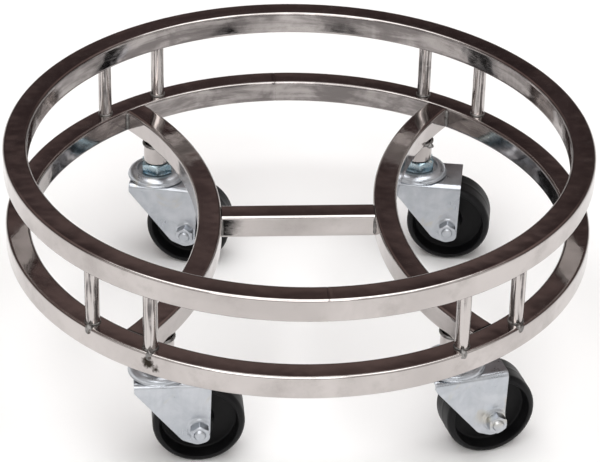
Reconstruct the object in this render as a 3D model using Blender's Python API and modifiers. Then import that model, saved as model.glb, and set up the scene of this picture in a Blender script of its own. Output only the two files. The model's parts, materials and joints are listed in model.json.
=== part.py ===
"""Round drum dolly: two square-tube rings held apart by rods, bowed braces with a cross bar, and four casters.

Z is up and the floor is z = 0. The origin is on the floor, under the centre of the rings.
"""

import math

import bmesh
import bpy

# Frame, in metres and degrees.
RING_RADIUS = 0.170
TUBE = 0.014
TUBE_CORNER = 0.0016
TUBE_WALL = 0.0012
TOTAL_HEIGHT = 0.143
RING_PITCH = 0.049
ROD_RADIUS = 0.004
ROD_CIRCLE = 0.1635
ROD_ANGLES = {"outer": 45.0, "inner": 59.2}
BRACE_RADIUS = 0.2027
BRACE_CENTRE = 0.2543
BRACE_SWEEP = 41.0
BRACE_TURN = 1.2
STEM_ANGLE = 31.6
RING_SEAMS = {"upper_ring": -86.6, "lower_ring": 93.4}
SEAM_WIDTH = 0.1
GAP = 0.0003

# Casters: heights are above the floor, and the trail runs along the caster's own +X.
WHEEL_RADIUS = 0.026
WHEEL_HALF_WIDTH = 0.0115
WHEEL_SHOULDER = 0.0035
WHEEL_RIM = 0.0035
WHEEL_CHAMFER = 0.001
WHEEL_WEB = 0.0030
HUB_RADIUS = 0.008
HUB_HALF_WIDTH = 0.0123
SLEEVE_RADIUS = 0.005
AXLE_RADIUS = 0.003
AXLE_FLATS = 0.010
AXLE_HEAD = 0.004
AXLE_NUT = 0.006
AXLE_TAIL = 0.0013
TRAIL = 0.021
FORK_HALF_WIDTH = 0.0154
FORK_SHEET = 0.002
FORK_BEND = 0.0032
FORK_TOP = 0.0565
FORK_FRONT = -0.015
FORK_NOSE = 0.0052
FORK_NOSE_ROUND = 0.002
FORK_REAR = 0.0070
FORK_BLANK = (-0.018, 0.034)
CAP_RADIUS = 0.018
CAP_TOP = 0.0618
CAP_SHEET = 0.0016
CAP_ROUND = 0.0028
RECESS_RADIUS = 0.0122
RECESS_FLOOR = 0.0599
PRESSING_DRAFT = 0.0010
GROOVE = (0.0119, 0.0164)
BALL_RADIUS = 0.0015
STEM_RADIUS = 0.006
STEM_CHAMFER = 0.001
SHANK_RADIUS = 0.005
STEM_HEAD_RADIUS = 0.007
STEM_HEAD = 0.0027
STEM_NUT_FLATS = 0.018
STEM_NUT_TOP = 0.0673
BOSS_RADIUS = 0.008

# Lower corners of a fork leg, as x and z from the axle and the radius that rounds them.
LEG_CORNERS = ((0.0058, -0.0085, 0.0040), (-0.0010, -0.0108, 0.0060), (-0.0094, -0.0075, 0.0060))

# Where each caster stands, as signs of x and y, and the angle of its trail at rest.
CASTERS = {
    "front_left": (-1, -1, 3.0),
    "front_right": (1, -1, 15.0),
    "rear_left": (-1, 1, -10.5),
    "rear_right": (1, 1, -8.0),
}

# Facets round each kind of piece.
RING_STEPS = 60
BRACE_STEPS = 18
WHEEL_STEPS = 24
ROUND_STEPS = 20
SMALL_STEPS = 16

MERGE = 1e-5
SMOOTH_ANGLE = math.radians(40.0)
LOWER_TOP = TOTAL_HEIGHT - RING_PITCH
LOWER_MIDDLE = LOWER_TOP - TUBE / 2
LOWER_BOTTOM = LOWER_TOP - TUBE
AXLE_SEAT = FORK_HALF_WIDTH + GAP


def clear_scene():
    for obj in list(bpy.data.objects):
        bpy.data.objects.remove(obj, do_unlink=True)


def new_collection(name):
    collection = bpy.data.collections.new(name)
    bpy.context.scene.collection.children.link(collection)
    return collection


def new_material(name, colour, roughness, metallic):
    material = bpy.data.materials.new(name)
    material.use_nodes = True
    shader = material.node_tree.nodes["Principled BSDF"]
    shader.inputs["Base Color"].default_value = (*colour, 1.0)
    shader.inputs["Roughness"].default_value = roughness
    shader.inputs["Metallic"].default_value = metallic
    material.diffuse_color = (*colour, 1.0)
    return material


def place(name, data, collection, parent=None, location=(0.0, 0.0, 0.0), turn=0.0):
    """Links an object, or an empty where data is None, turned about Z by an angle in degrees."""
    obj = bpy.data.objects.new(name, data)
    collection.objects.link(obj)
    obj.parent = parent
    obj.location = location
    obj.rotation_euler.z = math.radians(turn)
    return obj


def frozen(obj):
    """The evaluated shape of an object as a smooth-shaded mesh; the object is removed."""
    graph = bpy.context.evaluated_depsgraph_get()
    mesh = bpy.data.meshes.new_from_object(obj.evaluated_get(graph))
    mesh.name = obj.name
    bpy.data.objects.remove(obj, do_unlink=True)
    mesh.shade_smooth()
    mesh.set_sharp_from_angle(angle=SMOOTH_ANGLE)
    return mesh


def outline_mesh(name, points, closed=True):
    """Points joined by edges, in order."""
    mesh = bpy.data.meshes.new(name)
    edges = [(i, i + 1) for i in range(len(points) - 1)]
    if closed:
        edges.append((len(points) - 1, 0))
    mesh.from_pydata(points, edges, [])
    return mesh


def drawn_out(mesh, length):
    """Draws an outline out along X into an open sheet."""
    bm = bmesh.new()
    bm.from_mesh(mesh)
    made = bmesh.ops.extrude_edge_only(bm, edges=bm.edges[:])
    moved = [item for item in made["geom"] if isinstance(item, bmesh.types.BMVert)]
    bmesh.ops.translate(bm, verts=moved, vec=(length, 0.0, 0.0))
    bmesh.ops.recalc_face_normals(bm, faces=bm.faces[:])
    highest = max(bm.faces, key=lambda face: face.calc_center_median().z)
    if highest.normal.z < 0:
        bmesh.ops.reverse_faces(bm, faces=bm.faces[:])
    bm.to_mesh(mesh)
    bm.free()
    return mesh


def prism(name, radius, depth, sides, collection, axis="Z"):
    """A closed prism or cylinder, centred on the origin, along Z or Y."""
    mesh = bpy.data.meshes.new(name)
    bm = bmesh.new()
    bmesh.ops.create_cone(bm, cap_ends=True, segments=sides, radius1=radius, radius2=radius, depth=depth)
    bm.to_mesh(mesh)
    bm.free()
    obj = place(name, mesh, collection)
    if axis == "Y":
        obj.rotation_euler.x = math.radians(90.0)
    return obj


def screw(obj, steps, angle=360.0):
    """Turns the profile about the object's Z axis, as a full turn or as an open sweep."""
    modifier = obj.modifiers.new("Screw", "SCREW")
    modifier.axis = "Z"
    modifier.angle = math.radians(angle)
    modifier.steps = steps
    modifier.render_steps = steps
    modifier.use_merge_vertices = angle == 360.0
    modifier.merge_threshold = MERGE


def hollow(obj, thickness):
    """Gives an open surface a wall on its inner side."""
    modifier = obj.modifiers.new("Wall", "SOLIDIFY")
    modifier.thickness = thickness
    modifier.offset = -1.0
    modifier.use_even_offset = True


def boolean(obj, other, operation="DIFFERENCE"):
    modifier = obj.modifiers.new(other.name, "BOOLEAN")
    modifier.operation = operation
    modifier.object = other
    other.hide_render = True
    other.display_type = "WIRE"


def arc(centre, radius, start, end, steps):
    """Points on an arc between two angles in degrees."""
    angles = [math.radians(start + (end - start) * step / steps) for step in range(steps + 1)]
    return [(centre[0] + radius * math.cos(a), centre[1] + radius * math.sin(a)) for a in angles]


def rounded_outline(corners, steps=3):
    """Points round a polygon whose corners are (x, y, radius), each turned by a short arc."""
    points = []
    for index, (x, y, radius) in enumerate(corners):
        before = corners[index - 1]
        after = corners[(index + 1) % len(corners)]
        into = math.atan2(y - before[1], x - before[0])
        out = math.atan2(after[1] - y, after[0] - x)
        turn = (out - into + math.pi) % (2 * math.pi) - math.pi
        side = math.copysign(1.0, turn)
        reach = radius * math.tan(abs(turn) / 2)
        centre_x = x - reach * math.cos(into) - side * radius * math.sin(into)
        centre_y = y - reach * math.sin(into) + side * radius * math.cos(into)
        start = math.degrees(into) - side * 90.0
        if radius == 0.0:
            points.append((x, y))
        else:
            points += arc((centre_x, centre_y), radius, start, start + math.degrees(turn), steps)
    return points


def plate(name, outline, thickness, collection):
    """A filled 2D curve, extruded both ways, as a welded mesh that stands in the XZ plane."""
    curve = bpy.data.curves.new(name, "CURVE")
    curve.dimensions = "2D"
    curve.fill_mode = "BOTH"
    curve.extrude = thickness / 2
    spline = curve.splines.new("POLY")
    spline.points.add(len(outline) - 1)
    for point, (x, y) in zip(spline.points, outline):
        point.co = (x, y, 0.0, 1.0)
    spline.use_cyclic_u = True
    mesh = frozen(place(name, curve, collection))
    bm = bmesh.new()
    bm.from_mesh(mesh)
    bmesh.ops.remove_doubles(bm, verts=bm.verts[:], dist=MERGE)
    bmesh.ops.recalc_face_normals(bm, faces=bm.faces[:])
    bm.to_mesh(mesh)
    bm.free()
    obj = place(name, mesh, collection)
    obj.rotation_euler.x = math.radians(90.0)
    return obj


def turned(name, profile, steps, material, collection, closed=True):
    """A turned piece about Z, from a profile of (radius, height) that runs down its outer side."""
    mesh = outline_mesh(name, [(radius, 0.0, height) for radius, height in profile], closed)
    mesh.materials.append(material)
    obj = place(name, mesh, collection)
    screw(obj, steps)
    return obj


def tube_section():
    """Outline of the square tube as (across, up), which runs down its outer side first."""
    half = TUBE / 2
    corners = [(half, half), (half, -half), (-half, -half), (-half, half)]
    return rounded_outline([(across, up, TUBE_CORNER) for across, up in corners], steps=1)


def bent_tube(name, bend_radius, start, sweep, steps, material, collection, parent):
    """A hollow square tube bent flat to a radius and open at its two ends."""
    points = [(bend_radius + across, 0.0, up) for across, up in tube_section()]
    mesh = outline_mesh(name, points)
    mesh.materials.append(material)
    obj = place(name, mesh, collection, parent, turn=start)
    screw(obj, steps, sweep)
    hollow(obj, TUBE_WALL)
    return obj


def make_rings(steel, parts, frame):
    """Each ring is one tube bent right round, with a hairline seam where its ends meet."""
    for name, seam in RING_SEAMS.items():
        middle = RING_RADIUS - TUBE / 2
        ring = bent_tube(name, middle, seam, 360.0 - SEAM_WIDTH, RING_STEPS, steel, parts, frame)
        ring.location.z = LOWER_MIDDLE + (RING_PITCH if name == "upper_ring" else 0.0)


def make_braces(steel, parts, cutters, web):
    """Two braces bowed towards the centre, coped to the inside of the lower ring, and a bar between them."""
    inside = prism("ring_inside", RING_RADIUS - TUBE - GAP, 2 * TUBE, 2 * RING_STEPS, cutters)
    inside.location.z = LOWER_MIDDLE
    for name, side, facing in (("brace_left", -1, 0.0), ("brace_right", 1, 180.0)):
        start = facing - BRACE_SWEEP
        brace = bent_tube(name, BRACE_RADIUS, start, 2 * BRACE_SWEEP, BRACE_STEPS, steel, parts, web)
        brace.location = (side * BRACE_CENTRE, 0.0, LOWER_MIDDLE)
        boolean(brace, inside, "INTERSECT")
    span = 2 * (BRACE_CENTRE - BRACE_RADIUS - TUBE / 2 - GAP)
    points = [(-span / 2, across, up) for across, up in tube_section()]
    mesh = drawn_out(outline_mesh("cross_bar", points), span)
    mesh.materials.append(steel)
    bar = place("cross_bar", mesh, parts, web, (0.0, 0.0, LOWER_MIDDLE))
    hollow(bar, TUBE_WALL)


def make_rods(steel, parts, frame):
    """Upright rods between the rings, one each side of every brace end."""
    length = RING_PITCH - TUBE - 2 * GAP
    mesh = frozen(prism("rod", ROD_RADIUS, length, SMALL_STEPS, parts))
    mesh.materials.append(steel)
    for corner, (side, end, _) in CASTERS.items():
        for where, angle in ROD_ANGLES.items():
            x = side * ROD_CIRCLE * math.cos(math.radians(angle))
            y = end * ROD_CIRCLE * math.sin(math.radians(angle))
            place(f"rod_{corner}_{where}", mesh, parts, frame, (x, y, LOWER_TOP + GAP + length / 2))


def stem_boss(steel, parts):
    """Sleeve welded under a brace, which the caster's stem screws into."""
    low = STEM_NUT_TOP + GAP
    high = LOWER_BOTTOM - GAP
    bore = STEM_RADIUS + GAP
    profile = [(BOSS_RADIUS, high), (BOSS_RADIUS, low), (bore, low), (bore, high)]
    return turned("stem_boss", profile, SMALL_STEPS, steel, parts)


def race_cap(zinc, parts):
    """Pressed upper race: a round dome with a sunk middle above and a ball groove below."""
    lip = FORK_TOP + 2 * GAP
    bore = SHANK_RADIUS + GAP
    profile = arc((CAP_RADIUS - CAP_ROUND, CAP_TOP - CAP_ROUND), CAP_ROUND, 90.0, 0.0, 2)
    profile += [
        (CAP_RADIUS, lip),
        (GROOVE[1], lip),
        (GROOVE[1] - PRESSING_DRAFT, CAP_TOP - CAP_SHEET),
        (GROOVE[0], CAP_TOP - CAP_SHEET),
        (GROOVE[0] - PRESSING_DRAFT, RECESS_FLOOR - CAP_SHEET),
        (bore, RECESS_FLOOR - CAP_SHEET),
        (bore, RECESS_FLOOR),
        (RECESS_RADIUS - PRESSING_DRAFT, RECESS_FLOOR),
        (RECESS_RADIUS + PRESSING_DRAFT, CAP_TOP),
    ]
    return turned("race_cap", profile, ROUND_STEPS, zinc, parts)


def stem(zinc, parts):
    """Threaded stud whose shank runs through both races to a riveted head under the fork."""
    top = LOWER_BOTTOM - 3 * GAP
    shoulder = RECESS_FLOOR + GAP
    head = FORK_TOP - FORK_SHEET - GAP
    profile = [
        (0.0, top),
        (STEM_RADIUS - STEM_CHAMFER, top),
        (STEM_RADIUS, top - STEM_CHAMFER),
        (STEM_RADIUS, shoulder),
        (SHANK_RADIUS, shoulder),
        (SHANK_RADIUS, head),
        (STEM_HEAD_RADIUS, head),
        (STEM_HEAD_RADIUS, head - STEM_HEAD / 2),
        (SHANK_RADIUS, head - STEM_HEAD),
        (0.0, head - STEM_HEAD),
    ]
    return turned("stem", profile, SMALL_STEPS, zinc, parts, closed=False)


def stem_nut(blue_zinc, parts, cutters):
    """Lock nut between the race cap and the boss."""
    low = RECESS_FLOOR + GAP
    nut = prism("stem_nut", STEM_NUT_FLATS / math.sqrt(3), STEM_NUT_TOP - low, 6, parts)
    nut.location.z = (STEM_NUT_TOP + low) / 2
    nut.data.materials.append(blue_zinc)
    boolean(nut, prism("stem_nut_bore", STEM_RADIUS + GAP, 2 * TOTAL_HEIGHT, SMALL_STEPS, cutters))
    return nut


def fork(zinc, parts, cutters):
    """Folded sheet fork: a U channel trimmed to its side outline, with a stem hole and axle holes."""
    inset = FORK_HALF_WIDTH - FORK_BEND
    bend_height = FORK_TOP - FORK_BEND
    section = [(-FORK_HALF_WIDTH, 0.0)]
    section += arc((-inset, bend_height), FORK_BEND, 180.0, 90.0, 3)
    section += arc((inset, bend_height), FORK_BEND, 90.0, 0.0, 3)
    section += [(FORK_HALF_WIDTH, 0.0)]
    points = [(FORK_BLANK[0], across, up) for across, up in section]
    mesh = drawn_out(outline_mesh("fork", points, closed=False), FORK_BLANK[1] - FORK_BLANK[0])
    mesh.materials.append(zinc)
    body = place("fork", mesh, parts)
    hollow(body, FORK_SHEET)
    above = FORK_TOP + FORK_SHEET
    corners = [(FORK_FRONT, above, 0.0), (TRAIL + FORK_REAR, above, 0.0)]
    corners += [(TRAIL + x, WHEEL_RADIUS + z, radius) for x, z, radius in LEG_CORNERS]
    corners.append((FORK_FRONT, FORK_TOP - FORK_NOSE, FORK_NOSE_ROUND))
    boolean(body, plate("fork_side", rounded_outline(corners), 4 * FORK_HALF_WIDTH, cutters), "INTERSECT")
    stem_hole = prism("fork_stem_hole", SHANK_RADIUS + GAP, 4 * FORK_SHEET, SMALL_STEPS, cutters)
    stem_hole.location.z = FORK_TOP
    boolean(body, stem_hole)
    axle_hole = prism("fork_axle_hole", AXLE_RADIUS + GAP, 4 * FORK_HALF_WIDTH, SMALL_STEPS, cutters, "Y")
    axle_hole.location = (TRAIL, 0.0, WHEEL_RADIUS)
    boolean(body, axle_hole)
    return body


def ball_ring(steel, parts):
    """The ring of balls that runs between the fork and the race cap."""
    middle = (GROOVE[0] + GROOVE[1]) / 2 - GAP
    height = FORK_TOP + GAP + BALL_RADIUS
    profile = arc((middle, height), BALL_RADIUS, 90.0, -210.0, 5)
    return turned("ball_ring", profile, SMALL_STEPS, steel, parts)


def axle_bolt(zinc, parts, cutters):
    """Axle bolt across the fork, about the axle's centre, with its head on the far side."""
    bolt = prism("axle_bolt", AXLE_FLATS / math.sqrt(3), AXLE_HEAD, 6, parts, "Y")
    bolt.location.y = AXLE_SEAT + AXLE_HEAD / 2
    bolt.data.materials.append(zinc)
    length = 2 * AXLE_SEAT + AXLE_NUT + AXLE_TAIL + AXLE_HEAD / 2
    shank = prism("axle_shank", AXLE_RADIUS, length, SMALL_STEPS, cutters, "Y")
    shank.location.y = AXLE_SEAT + AXLE_HEAD / 2 - length / 2
    boolean(bolt, shank, "UNION")
    return bolt


def axle_nut(zinc, parts, cutters):
    nut = prism("axle_nut", AXLE_FLATS / math.sqrt(3), AXLE_NUT, 6, parts, "Y")
    nut.location.y = -AXLE_SEAT - AXLE_NUT / 2
    nut.data.materials.append(zinc)
    boolean(nut, prism("axle_nut_bore", AXLE_RADIUS + GAP, 4 * FORK_HALF_WIDTH, SMALL_STEPS, cutters, "Y"))
    return nut


def about_axle(obj):
    """Lays a piece turned about Z along the axle."""
    obj.rotation_euler.x = math.radians(90.0)
    return obj


def axle_sleeve(zinc, parts):
    """Steel sleeve clamped between the fork legs, which the wheel turns on."""
    half = FORK_HALF_WIDTH - FORK_SHEET - GAP
    bore = AXLE_RADIUS + GAP
    profile = [(SLEEVE_RADIUS, half), (SLEEVE_RADIUS, -half), (bore, -half), (bore, half)]
    return about_axle(turned("axle_sleeve", profile, SMALL_STEPS, zinc, parts))


def wheel(black, parts):
    """Moulded wheel with rounded shoulders and a web sunk between the rim and the hub."""
    width = WHEEL_HALF_WIDTH
    crown = WHEEL_RADIUS - WHEEL_SHOULDER
    rim = WHEEL_RADIUS - WHEEL_RIM
    bore = SLEEVE_RADIUS + GAP
    outside = arc((crown, width - WHEEL_SHOULDER), WHEEL_SHOULDER, 90.0, 0.0, 2)
    hub = [(bore, HUB_HALF_WIDTH), (HUB_RADIUS, HUB_HALF_WIDTH), (HUB_RADIUS, WHEEL_WEB)]
    web = [(rim - WHEEL_CHAMFER, WHEEL_WEB), (rim, width - WHEEL_CHAMFER)]
    half = hub + web + outside
    profile = half + [(radius, -height) for radius, height in reversed(half)]
    return about_axle(turned("wheel", profile, WHEEL_STEPS, black, parts))


def make_caster(name, stands, turn, fixed, swivelling, rolling, parts, web):
    """Places one caster's meshes on its stem, its swivel and its axle."""
    foot = place(f"stand_{name}", None, parts, web, (*stands, 0.0))
    for piece, mesh in fixed.items():
        place(f"{piece}_{name}", mesh, parts, foot)
    swivel = place(f"swivel_{name}", None, parts, foot, turn=turn)
    axle = place(f"axle_{name}", None, parts, swivel, (TRAIL, 0.0, WHEEL_RADIUS))
    for piece, (mesh, on_axle) in swivelling.items():
        place(f"{piece}_{name}", mesh, parts, axle if on_axle else swivel)
    for piece, mesh in rolling.items():
        place(f"{piece}_{name}", mesh, parts, axle)


def applied(obj):
    """Freezes a piece with its own place and turn worked into the mesh."""
    bpy.context.view_layer.update()
    matrix = obj.matrix_world.copy()
    mesh = frozen(obj)
    mesh.transform(matrix)
    return mesh


def main():
    clear_scene()
    parts = new_collection("drum_dolly")
    cutters = new_collection("cutters")
    steel = new_material("polished_steel", (0.62, 0.59, 0.57), 0.12, 1.0)
    zinc = new_material("bright_zinc", (0.66, 0.68, 0.70), 0.32, 1.0)
    blue_zinc = new_material("blue_zinc", (0.45, 0.56, 0.62), 0.28, 1.0)
    black = new_material("black_nylon", (0.018, 0.018, 0.019), 0.45, 0.0)

    frame = place("frame", None, parts)
    make_rings(steel, parts, frame)
    make_rods(steel, parts, frame)
    web = place("braces", None, parts, frame, turn=BRACE_TURN)
    make_braces(steel, parts, cutters, web)

    fixed = {
        "stem_boss": applied(stem_boss(steel, parts)),
        "race_cap": applied(race_cap(zinc, parts)),
        "stem": applied(stem(zinc, parts)),
        "stem_nut": applied(stem_nut(blue_zinc, parts, cutters)),
    }
    swivelling = {
        "fork": (applied(fork(zinc, parts, cutters)), False),
        "ball_ring": (applied(ball_ring(steel, parts)), False),
        "axle_bolt": (applied(axle_bolt(zinc, parts, cutters)), True),
        "axle_nut": (applied(axle_nut(zinc, parts, cutters)), True),
        "axle_sleeve": (applied(axle_sleeve(zinc, parts)), True),
    }
    rolling = {"wheel": applied(wheel(black, parts))}
    stem_x = BRACE_CENTRE - BRACE_RADIUS * math.cos(math.radians(STEM_ANGLE))
    stem_y = BRACE_RADIUS * math.sin(math.radians(STEM_ANGLE))
    for name, (side, end, turn) in CASTERS.items():
        stands = (side * stem_x, end * stem_y)
        make_caster(name, stands, turn - BRACE_TURN, fixed, swivelling, rolling, parts, web)


main()
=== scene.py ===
"""Drum dolly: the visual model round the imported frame, with its materials, light and camera.

Lengths are in metres and +Z is up. Every CAD node is replaced by a finer piece of the same place
and size, and the welds are added as pieces of their own.
"""

import json
import math

import bmesh
import bpy
import numpy as np
from mathutils import Matrix, Vector, noise


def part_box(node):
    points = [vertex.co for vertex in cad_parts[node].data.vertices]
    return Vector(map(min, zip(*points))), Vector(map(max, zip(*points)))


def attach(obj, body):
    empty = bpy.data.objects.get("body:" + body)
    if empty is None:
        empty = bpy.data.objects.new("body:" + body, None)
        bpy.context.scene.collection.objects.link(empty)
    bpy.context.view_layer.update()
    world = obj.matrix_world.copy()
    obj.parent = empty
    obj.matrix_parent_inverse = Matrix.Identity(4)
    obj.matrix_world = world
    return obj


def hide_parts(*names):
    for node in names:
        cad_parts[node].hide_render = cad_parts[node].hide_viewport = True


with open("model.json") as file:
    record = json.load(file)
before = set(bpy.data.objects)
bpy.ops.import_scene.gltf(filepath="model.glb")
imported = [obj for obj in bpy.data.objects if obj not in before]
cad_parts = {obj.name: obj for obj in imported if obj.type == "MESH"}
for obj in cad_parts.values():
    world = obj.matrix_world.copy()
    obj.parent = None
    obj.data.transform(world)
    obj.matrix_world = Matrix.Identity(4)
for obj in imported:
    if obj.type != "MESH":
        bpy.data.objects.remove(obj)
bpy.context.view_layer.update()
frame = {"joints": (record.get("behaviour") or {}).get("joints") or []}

# Camera: where it looks and from where, in metres and degrees, and its lens in sensor widths.
AIM = (0.00148, 0.00078, 0.0793)
AIM_DISTANCE = 1.5314
AZIMUTH = 2.6185
ELEVATION = 31.892
ROLL = 1.341
LENS_SHARE = 4.348
SENSOR_WIDTH = 36.0

# Shading: the angle in degrees above which an edge stays sharp.
SHARP_EDGE = 38.0
SHARP_TUBE_END = 60.0
SHARP_FORK = 45.0
SHARP_HEXAGON = 25.0
NEVER_SHARP = 180.0

# Bent tubes: the outline's corners and slightly sunk flats, the rings' seams and the bowed braces.
CORNER = 0.0016
CORNER_STEPS = 6
CROWN = 0.00010
SUPPORT = 0.0004
RING_STEPS = 480
RING_SEAMS = {"upper_ring": -86.6, "lower_ring": 93.4}
SEAM_HALF = 0.00045
SEAM_DEPTH = 0.00016
BOW_RADIUS = 0.2027
BOW_CENTRE = 0.2543
BOW_TURN = 1.2
BOW_STEPS = 150
BAR_STEPS = 40
COPE_GAP = 0.0001
ROD_SINK = 0.0002

# Weld beads as (radius, ripple length), and drops of weld as half widths along X, Y and Z.
ROD_FOOT_BEAD = (0.0006, 0.0011)
ROD_HEAD_BEAD = (0.0005, 0.0011)
BRACE_BEAD = (0.0013, 0.0014)
BAR_BEAD = (0.0010, 0.0012)
BOSS_BEAD = (0.0009, 0.0013)
TACK_SIZE = (0.0024, 0.0024, 0.0031)
STOP_SIZE = (0.0021, 0.0021, 0.0016)
TACK_INSET = 0.0015
TACK_ASIDE = 0.0026
TACK_DROP = 0.0018
STOP_DROP = 0.0012
BEAD_SINK = 0.0002
BEAD_SIDES = 10

# Casters: sizes that the nodes' boxes don't give.
ROUND_STEPS = 96
SMALL_ROUND_STEPS = 48
FORK_SHEET = 0.002
FORK_HALF = 0.0154
FORK_BEND = 0.0032
FORK_FRONT = -0.015
FORK_REAR = 0.0070
FORK_NOSE_DROP = 0.0052
FORK_NOSE_RADIUS = 0.0020
FORK_COLUMNS = 44
FORK_EDGE = 0.0004
# Corners of the fork leg below the axle: along and up from the axle, and the corner's radius.
FORK_LEG = (
    (0.0058, -0.0085, 0.0040),
    (-0.0010, -0.0108, 0.0060),
    (-0.0094, -0.0075, 0.0060),
)
EMBOSS_RADIUS = 0.0074
EMBOSS_FLAT = 0.0058
EMBOSS_HEIGHT = 0.0010
BOSS_BORE = 0.0063
BOSS_EDGE = 0.0004
CAP_SHEET = 0.0016
CAP_BORE = 0.0058
CAP_WELL = 0.0112
CAP_CROWN = 0.0127
CAP_FILLET = 0.0007
CAP_LIP = 0.00035
CAP_FLANGE = 0.0005
CAP_FOOT = 0.0013
CAP_SHOULDER_END = 84.0
CAP_NUT_GAP = 0.0003
STUD_RADIUS = 0.006
STUD_PITCH = 0.00175
STUD_SHANK = 0.005
STUD_HEAD = 0.0070
STUD_HEAD_GAP = 0.0001
STUD_HEAD_EDGE = 0.0003
STUD_HEAD_ARC = 60.0
STEM_NUT_FLATS = 0.018
STEM_NUT_BORE = 0.0058
BALL_COUNT = 26
BOLT_SEAT = 0.0157
BOLT_FLATS = 0.010
BOLT_HEAD = 0.004
BOLT_NUT = 0.006
BOLT_TAIL = 0.0013
BOLT_RADIUS = 0.003
BOLT_PITCH = 0.001
BOLT_SHANK = 0.0029
BOLT_TIP = 0.0004
SLEEVE_RADIUS = 0.005
SLEEVE_BORE = 0.0033
HEX_CHAMFER = math.radians(30.0)
HEX_FLAT_SHARE = 0.965
HEX_CORNER_CUT = 0.00012
HEX_BORE_EDGE = 0.0004
THREAD_DEPTH = 0.45
WHEEL_HALF = 0.0115
WHEEL_BORE = 0.0053
WHEEL_SHOULDER = 0.0035
WHEEL_RIM = 0.0035
WHEEL_WEB = 0.0030
WHEEL_FILLET = 0.0012
WHEEL_EDGE = 0.0006
HUB_HALF = 0.0123
HUB_RADIUS = 0.0074
RIDGE = 0.00006

# Colours of polished steel: its haze between two tones, smudges, painted shade on the inner faces
# and burn.
STEEL_TONES = (0.438, 0.408, 0.396), (0.548, 0.514, 0.500)
STEEL_SMUDGE = (0.33, 0.305, 0.292)
# Painted shade: the darker tone of the rings' inner faces, standing in for the shaded floor they
# reflect.
STEEL_INNER_SHADE = (0.215, 0.196, 0.192)
STEEL_BURN = (0.035, 0.028, 0.022)

# The burn beside the front left rods: its middle from the ring's outer face under the inner rod,
# and its two spots as (offset, radius).
BURN_PLACE = (0.0030, -0.0072)
BURN_SPOTS = ((-0.0010, 0.0, 0.0010), 0.0044), ((0.0036, -0.0008, -0.0012), 0.0040)

# Studio: the walls' two tones, and the layers over them. A layer fades in between two values of
# one axis of the direction's unit vector. The patches are the range of the walls' brightness,
# spread over the range of the mottle.
WALL_TONES = (0.020, 0.013, 0.014), (0.098, 0.068, 0.066)
WALL_UPPER = (0.47, 0.61, (0.205, 0.146, 0.136), "Z")
FRONT_WALL = (-0.02, -0.22, (0.86, 0.84, 0.82), "Y")
WALL_FOOT = (0.34, 0.22, (0.58, 0.56, 0.545), "Z")
CEILING = (0.72, 0.90, (0.70, 0.690, 0.680), "Z")
WALL_PATCHES = (0.72, 1.12)
MOTTLE_SCALE = 7.0
MOTTLE_RANGE = (0.35, 0.65)
FLOOR_TONES = (0.935, 0.935, 0.935), (0.955, 0.955, 0.955)
FLOOR_REACH = 30.0

# Soft boxes: where each stands, what it faces, its width, depth and power.
CEILING_BOX = ((0.0, -0.2, 2.4), (0.0, 0.0, 0.0), 2.6, 2.2, 46.0)
FRONT_BOX = ((-0.3, -2.2, 1.7), (0.0, 0.0, 0.05), 2.2, 1.1, 21.0)

CORNERS = ("front_left", "front_right", "rear_left", "rear_right")
RODS = [f"rod_{corner}_{where}" for corner in CORNERS for where in ("outer", "inner")]
JOINTS = {joint["name"]: joint for joint in frame["joints"]}


def box_size(node):
    low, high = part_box(node)
    return high - low


def box_centre(node):
    low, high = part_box(node)
    return (low + high) / 2


TUBE = box_size("lower_ring").z
HALF = TUBE / 2
RING_MIDDLE = box_size("upper_ring").x / 2 - HALF
RING_INSIDE = RING_MIDDLE - HALF
RING_OUTSIDE = RING_MIDDLE + HALF
LOWER_Z = box_centre("lower_ring").z
BRACE_TURN = Matrix.Rotation(math.radians(BOW_TURN), 4, "Z")


# ---------------------------------------------------------------- meshes

def grid_faces(rows, columns, wrap_rows, wrap_columns):
    """Quads over a grid of points numbered row by row."""
    faces = []
    for row in range(rows if wrap_rows else rows - 1):
        below = (row + 1) % rows
        for column in range(columns if wrap_columns else columns - 1):
            side = (column + 1) % columns
            here, under = row * columns, below * columns
            faces.append((here + column, here + side, under + side, under + column))
    return faces


def grid_mesh(name, points, wrap_rows=False, wrap_columns=True, capped=True):
    """A closed or open surface through rows of points, with its two end rows capped."""
    rows, columns = points.shape[:2]
    faces = grid_faces(rows, columns, wrap_rows, wrap_columns)
    if capped and not wrap_rows:
        faces.append(tuple(range(columns)))
        faces.append(tuple(reversed(range((rows - 1) * columns, rows * columns))))
    mesh = bpy.data.meshes.new(name)
    mesh.from_pydata(points.reshape(-1, 3).tolist(), [], faces)
    return mesh


def joined(name, meshes):
    """One mesh from several."""
    bm = bmesh.new()
    for mesh in meshes:
        bm.from_mesh(mesh)
        bpy.data.meshes.remove(mesh)
    whole = bpy.data.meshes.new(name)
    bm.to_mesh(whole)
    bm.free()
    return whole


def finish_mesh(mesh, sharp):
    """Turns the faces out and shades the mesh smooth up to an angle."""
    bm = bmesh.new()
    bm.from_mesh(mesh)
    bmesh.ops.recalc_face_normals(bm, faces=bm.faces[:])
    bm.to_mesh(mesh)
    bm.free()
    mesh.shade_smooth()
    mesh.set_sharp_from_angle(angle=math.radians(sharp))


def piece(name, mesh, material, body, slot, *nodes, sharp=SHARP_EDGE, place=None):
    """Puts a mesh in the scene as a piece that rides on a body and stands for its CAD nodes."""
    if place is not None:
        mesh.transform(place)
    finish_mesh(mesh, sharp)
    mesh.name = name
    mesh.materials.append(material)
    obj = bpy.data.objects.new(name, mesh)
    bpy.context.scene.collection.objects.link(obj)
    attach(obj, body)
    if nodes:
        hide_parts(*nodes)


def arc(centre, radius, start, end, steps):
    """Points on an arc between two angles in degrees."""
    x, y = centre
    angles = np.radians(np.linspace(start, end, steps + 1))
    return [(x + radius * math.cos(a), y + radius * math.sin(a)) for a in angles]


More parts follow.
